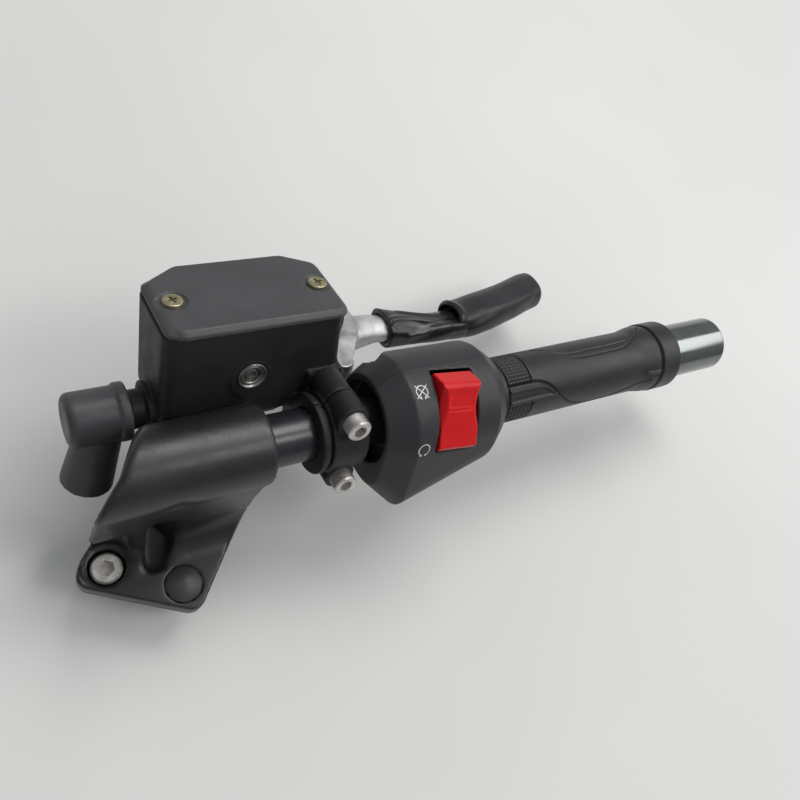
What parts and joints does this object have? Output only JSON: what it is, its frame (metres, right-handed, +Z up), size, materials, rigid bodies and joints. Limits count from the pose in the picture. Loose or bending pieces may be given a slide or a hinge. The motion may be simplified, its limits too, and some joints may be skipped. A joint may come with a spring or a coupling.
{
  "type": "motorcycle right handlebar assembly",
  "caption": "Right-hand handlebar of a sport moped: bolt-on bracket, bar tube, brake cylinder with reservoir and lever, switch housing with red rocker, throttle grip and bar end.",
  "frame": {"origin": "centre of the bracket's foot seat, midway between its two foot bolts", "axes": "+X along the two foot bolts towards the bar's outer end, +Y forward, away from the rider, +Z up off the seat"},
  "size_m": [0.3174, 0.2209, 0.12],
  "materials": {
    "bracket_paint": "satin black paint over cast aluminium",
    "tube_paint": "gloss black paint over steel tube",
    "cylinder_paint": "matte black paint over cast aluminium",
    "cap_plastic": "satin dark grey moulded cap",
    "housing_plastic": "matte dark grey moulding",
    "tube_plastic": "moulded throttle tube",
    "switch_red": "glossy red rocker",
    "grip_rubber": "soft black grip rubber",
    "sleeve_rubber": "smooth stretched black rubber",
    "boot_rubber": "moulded black rubber",
    "plug_rubber": "satin grey-black domed plug",
    "lever_aluminium": "raw cast and brushed",
    "bolt_steel": "bright zinc-plated steel",
    "cap_screw_zinc": "yellow zinc-plated steel",
    "glass_ring_metal": "black ring round the glass",
    "sight_glass": "clear window on to pale fluid",
    "bar_end_chrome": "polished dark plated steel"
  },
  "bodies": {
    "handlebar": {"bar_bracket": "bracket_paint", "bracket_bolt_inboard": "bolt_steel", "bracket_bolt_outboard": "bolt_steel", "bracket_plug": "plug_rubber", "bar_tube": "tube_paint", "master_cylinder": "cylinder_paint", "reservoir_cap": "cap_plastic", "cap_screw_inboard": "cap_screw_zinc", "cap_screw_outboard": "cap_screw_zinc", "sight_glass_ring": "glass_ring_metal", "sight_glass": "sight_glass", "clamp_cap": "cylinder_paint", "clamp_bolt_upper": "bolt_steel", "clamp_bolt_lower": "bolt_steel", "dust_seal": "boot_rubber", "hose_boot": "boot_rubber", "pivot_bolt": "bolt_steel", "pivot_nut": "bolt_steel", "switch_housing_rear": "housing_plastic", "switch_housing_front": "housing_plastic", "housing_screw_upper": "bolt_steel", "housing_screw_lower": "bolt_steel", "kill_switch_pin": "bolt_steel", "bar_end": "bar_end_chrome", "bar_end_screw": "bolt_steel"},
    "lever": {"brake_lever": "lever_aluminium", "lever_sleeve": "sleeve_rubber"},
    "piston": {"piston": "lever_aluminium"},
    "throttle": {"throttle_tube": "tube_plastic", "grip": "grip_rubber"},
    "rocker": {"kill_switch": "switch_red"}
  },
  "joints": [
    {"name": "lever_pivot", "type": "hinge", "parent": "handlebar", "child": "lever", "pos_m": [0.04792, 0.12246, 0.03487], "axis": [0.1422, -0.4057, -0.9029], "range_deg": [0, 15], "stiffness_Nm_per_rad": 2, "springref_deg": -20.05},
    {"name": "piston_slide", "type": "slide", "parent": "handlebar", "child": "piston", "axis": [-0.8636, -0.4966, 0.0872], "range_m": [0, 0.007]},
    {"name": "throttle_turn", "type": "hinge", "parent": "handlebar", "child": "throttle", "pos_m": [0.16222, 0.12742, 0.04827], "axis": [0.8636, 0.4966, -0.0872], "range_deg": [0, 75], "stiffness_Nm_per_rad": 0.3, "springref_deg": -57.3},
    {"name": "kill_switch_rock", "type": "hinge", "parent": "handlebar", "child": "rocker", "pos_m": [0.10267, 0.08316, 0.07111], "axis": [-0.9012, -0.4117, 0.1356], "range_deg": [0, 14]}
  ],
  "couplings": [
    {"joint": "piston_slide", "follows": "lever_pivot", "m_per_rad": 0.0265}
  ]
}
